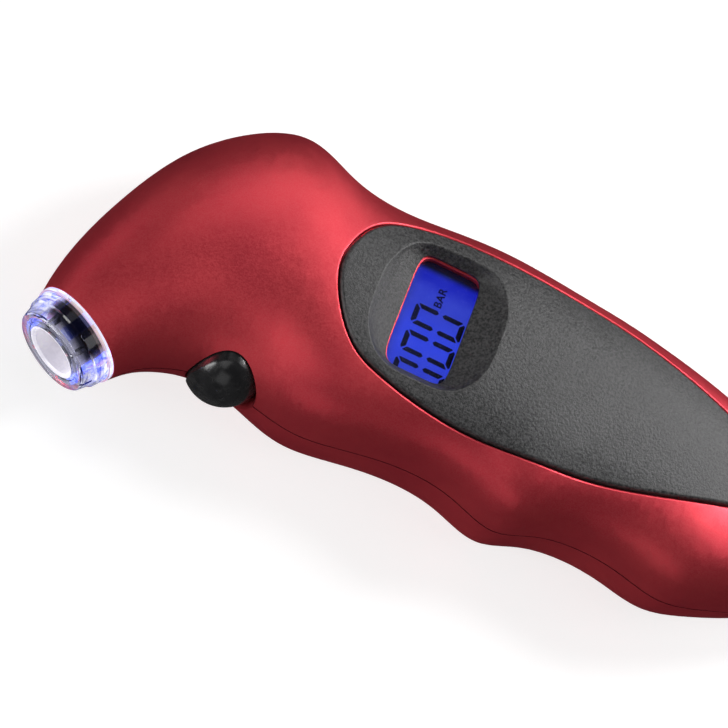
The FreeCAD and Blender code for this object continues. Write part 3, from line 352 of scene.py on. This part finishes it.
def segment_ink():
    """Dark liquid-crystal segments with uneven depth, lit faintly in their own dark blue by a painted glow.
    """
    surface = Surface("segment_ink")
    drift = surface.noise(1.1, 2.0, 0.5)
    tone = surface.mix(surface.spread(drift, 0.3, 0.7), (0.003, 0.004, 0.020), (0.006, 0.008, 0.040))
    # Painted glow: the segments give off a little light in their own colour.
    surface.set(Base_Color=tone, Roughness=surface.spread(drift, 0.3, 0.7, 0.5, 0.65), Specular_IOR_Level=0.1,
                Emission_Color=tone, Emission_Strength=0.35)
    return surface


BRUSHED = (1.0, 14.0, 14.0)
LAYERED = (1.0, 1.0, 8.0)
# Name: dark colour, light colour, roughness, and whatever differs from an ordinary moulding.
PLAIN = {
    "diffuser": ((0.62, 0.65, 0.78), (0.80, 0.82, 0.90), (0.35, 0.5), {}),
    "rubber_strip": ((0.05, 0.05, 0.055), (0.22, 0.22, 0.23), (0.55, 0.75),
                     {"grain_mm": 0.25, "grain_depth": 0.02, "stretch": LAYERED}),
    "black_resin": ((0.018, 0.018, 0.020), (0.042, 0.042, 0.045), (0.4, 0.6), {"grain_mm": 0.4}),
    "component_cases": ((0.11, 0.08, 0.05), (0.30, 0.26, 0.20), (0.35, 0.55), {}),
    "zinc_steel": ((0.42, 0.43, 0.45), (0.64, 0.64, 0.66), (0.22, 0.42),
                   {"grain_mm": 0.3, "metallic": 1.0, "blotch_mm": 2.5}),
    "sensor_case": ((0.58, 0.58, 0.55), (0.74, 0.74, 0.70), (0.4, 0.6), {}),
    "silicone_hose": ((0.55, 0.56, 0.55), (0.72, 0.72, 0.69), (0.35, 0.55), {}),
    "red_wire": ((0.34, 0.012, 0.012), (0.52, 0.03, 0.03), (0.35, 0.5), {"grain_mm": 0.3}),
    "black_wire": ((0.012, 0.012, 0.012), (0.035, 0.035, 0.036), (0.35, 0.5), {"grain_mm": 0.3}),
    "brass_body": ((0.48, 0.33, 0.12), (0.72, 0.55, 0.25), (0.2, 0.38), {"metallic": 1.0, "blotch_mm": 4.0}),
    "seal_rubber": ((0.012, 0.012, 0.013), (0.034, 0.034, 0.036), (0.5, 0.7), {"grain_mm": 0.3}),
    "switch_plastic": ((0.04, 0.04, 0.042), (0.085, 0.085, 0.088), (0.4, 0.55), {}),
    "spring_steel": ((0.42, 0.41, 0.37), (0.66, 0.64, 0.58), (0.22, 0.4),
                     {"grain_mm": 0.6, "grain_depth": 0.008, "metallic": 1.0, "blotch_mm": 3.0,
                      "stretch": BRUSHED}),
    "cell_steel": ((0.48, 0.48, 0.49), (0.70, 0.70, 0.71), (0.2, 0.36),
                   {"grain_mm": 0.9, "grain_depth": 0.006, "metallic": 1.0, "blotch_mm": 5.0,
                    "stretch": BRUSHED}),
    "door_black": ((0.016, 0.016, 0.017), (0.048, 0.047, 0.048), (0.45, 0.6),
                   {"grain_mm": 0.3, "grain_depth": 0.03}),
}
SURFACES = {
    "red_paint": red_paint(),
    "black_panel": black_panel(),
    "clear_lens": clear_plastic("clear_lens", (0.93, 0.94, 0.97), 0.03),
    "lcd_glass": lit_glass(),
    "lamp_case": lamp_resin(),
    "circuit_board": circuit_board(),
    "clear_tip": clear_plastic("clear_tip", (0.88, 0.89, 0.97), 0.05, nozzle_glow),
    "grey_sleeve": glowing_sleeve(),
    "black_button": gloss_black(),
}
for plain_name, (dark_tone, light_tone, rough_range, details) in PLAIN.items():
    SURFACES[plain_name] = plain_surface(plain_name, dark_tone, light_tone, rough_range, **details)


# --------------------------------------------------------------------- pieces

def new_piece(name, mesh, body, surface):
    """Link a finished mesh, give it its material and make it ride on a body."""
    mesh.materials.clear()
    mesh.materials.append(surface.material)
    piece = bpy.data.objects.new(name, mesh)
    bpy.context.scene.collection.objects.link(piece)
    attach(piece, body)
    return piece


def dress_nodes():
    """Give every CAD node the surface of its own slot."""
    for name, node in frame["nodes"].items():
        node.data.materials.clear()
        node.data.materials.append(SURFACES[SLOT_OF[name]].material)


# Nodes shown by a smooth-shaded copy, with the sharpest turn in degrees that still counts as curved.
SMOOTHED = {
    "front_casing": 32, "back_casing": 32, "front_panel": 32, "trigger_button": 35, "nozzle_tip": 28,
    "nozzle_sleeve": 30, "nozzle_body": 30, "air_hose": 40, "battery_door": 30, "battery_cells": 30,
}
WELD = 0.002 * MM
# Large freeform shells, whose shading is also evened out from triangle to triangle.
EVENED = ("front_casing", "back_casing", "front_panel")
LONGEST_EDGE = 1.3 * MM
CRISP_EDGE = math.radians(9)
FLAT_EDGE = math.radians(0.2)
CUTTING_ROUNDS = 2
EVENING_ROUNDS = 14


def cut_long_edges(work):
    """Halve the long edges between nearly level faces, so that shading follows a curved wall closely."""
    for _ in range(CUTTING_ROUNDS):
        long_edges = [edge for edge in work.edges if edge.calc_length() > LONGEST_EDGE
                      and FLAT_EDGE < edge.calc_face_angle(0.0) < CRISP_EDGE]
        bmesh.ops.subdivide_edges(work, edges=long_edges, cuts=1)
        bmesh.ops.triangulate(work, faces=[face for face in work.faces if len(face.verts) > 3])
    work.normal_update()
    work.faces.index_update()
    work.verts.index_update()


def evened_normals(work):
    """Each face's normal, as long as its area, evened out over its neighbours up to crisp edges."""
    turned = [face.normal * face.calc_area() for face in work.faces]
    pairs = [[face.index for face in edge.link_faces] for edge in work.edges
             if edge.smooth and len(edge.link_faces) == 2 and edge.calc_face_angle(0.0) < CRISP_EDGE]
    for _ in range(EVENING_ROUNDS):
        spread = [vector.copy() for vector in turned]
        for one, other in pairs:
            spread[one] += turned[other]
            spread[other] += turned[one]
        turned = [vector.normalized() * start.length for vector, start in zip(spread, turned)]
    return turned


def corner_normals(work, face_normals):
    """A normal for each face's corner: its neighbours' mean by area round that point, up to a sharp edge."""
    normals = {}
    for vert in work.verts:
        left = list(vert.link_faces)
        while left:
            fan = [left.pop(0)]
            total = Vector((0, 0, 0))
            for face in fan:
                total += face_normals[face.index]
                for edge in face.edges:
                    if edge.smooth and vert in edge.verts:
                        joined = [other for other in edge.link_faces if other in left]
                        fan += joined
                        left = [other for other in left if other not in joined]
            for face in fan:
                normals[face.index, vert.index] = total.normalized()
    return [normals[face.index, loop.vert.index] for face in work.faces for loop in face.loops]


def smooth_copy(node_name, angle):
    """A copy of a CAD node with its seams welded and its curved faces shaded smooth."""
    mesh = frame["nodes"][node_name].data.copy()
    mesh.name = node_name + "_smooth"
    imported_normals = mesh.attributes.get("custom_normal")
    if imported_normals:
        mesh.attributes.remove(imported_normals)
    work = bmesh.new()
    work.from_mesh(mesh)
    bmesh.ops.remove_doubles(work, verts=work.verts, dist=WELD)
    for edge in work.edges:
        edge.smooth = len(edge.link_faces) == 2 and edge.calc_face_angle(0.0) < math.radians(angle)
    for face in work.faces:
        face.smooth = True
    normals = None
    if node_name in EVENED:
        cut_long_edges(work)
        normals = corner_normals(work, evened_normals(work))
    work.to_mesh(mesh)
    work.free()
    mesh.update()
    if normals:
        mesh.normals_split_custom_set(normals)
    slot_name = SLOT_OF[node_name]
    piece = new_piece(node_name + "_skin", mesh, BODY_OF[node_name], SURFACES[slot_name])
    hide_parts(node_name)


# One seven-segment figure, in millimetres from its middle; its top points along -X.
LONG_BAR = [(-4.22, 1.90), (-4.02, 2.03), (-0.78, 2.03), (-0.36, 1.60), (-0.78, 1.17), (-3.56, 1.17)]
END_BAR = [(-4.76, 1.46), (-4.50, 1.72), (-3.82, 1.06), (-3.82, -1.06), (-4.50, -1.72), (-4.76, -1.46)]
FIGURE_MIDDLE_X = 1.43
FIGURE_MIDDLES_Y = (0.8, -4.55, -9.9)
SEGMENT_LIFT = 0.012
SEGMENT_THICK = 0.05
GLASS_MARGIN = 0.1


def figure_outlines(centre_x, centre_y):
    """Outlines of a zero: four long bars and two end bars."""
    outlines = []
    for flip_x in (1, -1):
        outlines.append([(centre_x + flip_x * x, centre_y + y) for x, y in END_BAR])
        for flip_y in (1, -1):
            outlines.append([(centre_x + flip_x * x, centre_y + flip_y * y) for x, y in LONG_BAR])
    return outlines


def display_segments():
    """Three zeros lying on the glass, each segment a thin plate; those past the glass are left out."""
    low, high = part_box("lcd_glass")
    centre = (low + high) / 2
    work = bmesh.new()
    for middle_y in FIGURE_MIDDLES_Y:
        for outline in figure_outlines(FIGURE_MIDDLE_X, middle_y):
            level = high.z + SEGMENT_LIFT * MM
            ring = [Vector((centre.x + x * MM, centre.y + y * MM, level)) for x, y in outline]
            if any(abs(point.y - centre.y) > (high.y - low.y) / 2 - GLASS_MARGIN * MM for point in ring):
                continue
            corners = [work.verts.new(point) for point in ring]
            base = work.faces.new(corners)
            grown = bmesh.ops.extrude_face_region(work, geom=[base])
            lifted = [item for item in grown["geom"] if isinstance(item, bmesh.types.BMVert)]
            bmesh.ops.translate(work, verts=lifted, vec=(0, 0, SEGMENT_THICK * MM))
    bmesh.ops.recalc_face_normals(work, faces=work.faces)
    mesh = bpy.data.meshes.new("display_figures")
    work.to_mesh(mesh)
    work.free()
    new_piece("display_figures", mesh, "housing", INK)


UNIT_HEIGHT = 1.42
CAPITAL_SHARE = 0.72
LETTER_WEIGHT = 0.04
LETTER_SPACING = 1.08
UNIT_CORNER = (0.96, 3.36)


def unit_label():
    """The generic pressure unit beside the figures, as flat raised letters."""
    low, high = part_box("lcd_glass")
    centre = (low + high) / 2
    curve = bpy.data.curves.new("unit_label", "FONT")
    curve.body = "BAR"
    curve.size = UNIT_HEIGHT * MM / CAPITAL_SHARE
    curve.extrude = SEGMENT_THICK / 2 * MM
    curve.offset = LETTER_WEIGHT * MM
    curve.space_character = LETTER_SPACING
    letters = bpy.data.objects.new("unit_text", curve)
    bpy.context.scene.collection.objects.link(letters)
    bpy.context.view_layer.update()
    mesh = bpy.data.meshes.new_from_object(letters)
    bpy.data.objects.remove(letters)
    corner = centre + Vector((UNIT_CORNER[0] * MM, UNIT_CORNER[1] * MM, 0))
    height = high.z + (SEGMENT_LIFT + SEGMENT_THICK / 2) * MM
    mesh.transform(Matrix.Translation((corner.x, corner.y, height)) @ Matrix.Rotation(math.pi / 2, 4, "Z"))
    new_piece("display_unit", mesh, "housing", INK)


INK = segment_ink()
dress_nodes()
for smoothed_node, sharpest in SMOOTHED.items():
    smooth_copy(smoothed_node, sharpest)
display_segments()
unit_label()


# ------------------------------------------------------- floor, light, camera

FLOOR_GLOW = 0.74
FLOOR_CELLS = 8
FLOOR_HALF_WIDTH = 2.5


def floor():
    """Pale table, lit a little from below so that it stays pale under soft light."""
    surface = plain_surface("pale_floor", (0.40, 0.40, 0.40), (0.44, 0.44, 0.44), (0.7, 0.85), 1.5, 0.01,
                            blotch_mm=80.0, specular=0.1)
    surface.set(Emission_Color=(1.0, 1.0, 1.0, 1.0), Emission_Strength=FLOOR_GLOW)
    work = bmesh.new()
    bmesh.ops.create_grid(work, x_segments=FLOOR_CELLS, y_segments=FLOOR_CELLS, size=FLOOR_HALF_WIDTH)
    mesh = bpy.data.meshes.new("floor")
    work.to_mesh(mesh)
    work.free()
    mesh.materials.append(surface.material)
    plane = bpy.data.objects.new("floor", mesh)
    bpy.context.scene.collection.objects.link(plane)
    plane.visible_glossy = False


def softbox(name, target, direction, distance, size, radiance):
    """Square area light of a given brightness, hung in a direction from a point and facing it."""
    toward = Vector(direction).normalized()
    light = bpy.data.lights.new(name, "AREA")
    light.shape = "SQUARE"
    light.size = size
    light.energy = radiance * math.pi * size * size
    lamp = bpy.data.objects.new(name, light)
    bpy.context.scene.collection.objects.link(lamp)
    lamp.location = Vector(target) + toward * distance
    lamp.rotation_euler = toward.to_track_quat("Z", "Y").to_euler()
    lamp.visible_camera = False


def heading(elevation, azimuth):
    """Unit direction from angles in degrees; azimuth runs from +X towards +Y."""
    tilt, turn = math.radians(elevation), math.radians(azimuth)
    return Vector((math.cos(tilt) * math.cos(turn), math.cos(tilt) * math.sin(turn), math.sin(tilt)))


def world(level):
    """Even white surroundings of a low brightness."""
    scene_world = bpy.data.worlds.new("studio")
    scene_world.use_nodes = True
    background = scene_world.node_tree.nodes["Background"]
    background.inputs["Color"].default_value = (1.0, 1.0, 1.0, 1.0)
    background.inputs["Strength"].default_value = level
    bpy.context.scene.world = scene_world


# The view looks down on the display with the handle running off to the right.
VIEW_TOWARD = Vector((-0.16, -0.40, 0.90244)).normalized()
VIEW_UP = Vector((-0.424965, 0.853072, 0.302773)).normalized()
VIEW_DISTANCE = 0.6
# Metres from the display's middle to what the camera looks at.
VIEW_OFFSET_RIGHT = -0.01185
VIEW_OFFSET_UP = -0.00737
VIEW_ANCHOR = Vector((0.0004, 0.0005, 0.0019))
SENSOR = 36.0
LENS = 172.09
CLIP_RANGE = (0.01, 20.0)


def camera():
    """Long lens looking at a point beside the middle of the display."""
    low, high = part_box("lcd_glass")
    right = VIEW_UP.cross(VIEW_TOWARD).normalized()
    up = VIEW_TOWARD.cross(right)
    lens = bpy.data.cameras.new("camera")
    lens.sensor_width = SENSOR
    lens.lens = LENS
    lens.clip_start, lens.clip_end = CLIP_RANGE
    eye = bpy.data.objects.new("camera", lens)
    bpy.context.scene.collection.objects.link(eye)
    place = (low + high) / 2 + VIEW_ANCHOR + VIEW_TOWARD * VIEW_DISTANCE
    place += right * VIEW_OFFSET_RIGHT + up * VIEW_OFFSET_UP
    turn = Matrix((right, up, VIEW_TOWARD)).transposed()
    eye.matrix_world = Matrix.Translation(place) @ turn.to_4x4()
    bpy.context.scene.camera = eye


# Points that the lights face, in metres: the middle of the gauge and the top of its tail.
MIDDLE = (-0.02, 0.0, 0.02)
TAIL = (0.035, 0.0, 0.028)
STUDIO_DISTANCE = 0.6
STUDIO_SIZE = 0.32
# Softboxes all round: elevation and azimuth in degrees, and radiance.
STUDIO = {
    "low_right": (12, 30, 3.9), "low_back": (12, 60, 1.1), "low_left": (12, 210, 6.6),
    "left": (12, 150, 0.43), "low_front": (12, 270, 0.5), "back_left": (32, 108, 0.5),
    "key": (44, 86, 0.95), "crown": (52, 120, 0.4), "right": (52, 0, 1.5), "front": (52, 240, 0.85),
}
TAIL_LIGHT = {"direction": (0.42, 0.48, 0.77), "distance": 0.32, "size": 0.09, "radiance": 27.0}
WORLD_LEVEL = 0.04
floor()
world(WORLD_LEVEL)
for light_name, (elevation, azimuth, radiance) in STUDIO.items():
    softbox(light_name, MIDDLE, heading(elevation, azimuth), STUDIO_DISTANCE, STUDIO_SIZE, radiance)
softbox("tail_light", TAIL, **TAIL_LIGHT)
camera()
bpy.context.scene.view_settings.view_transform = "Standard"
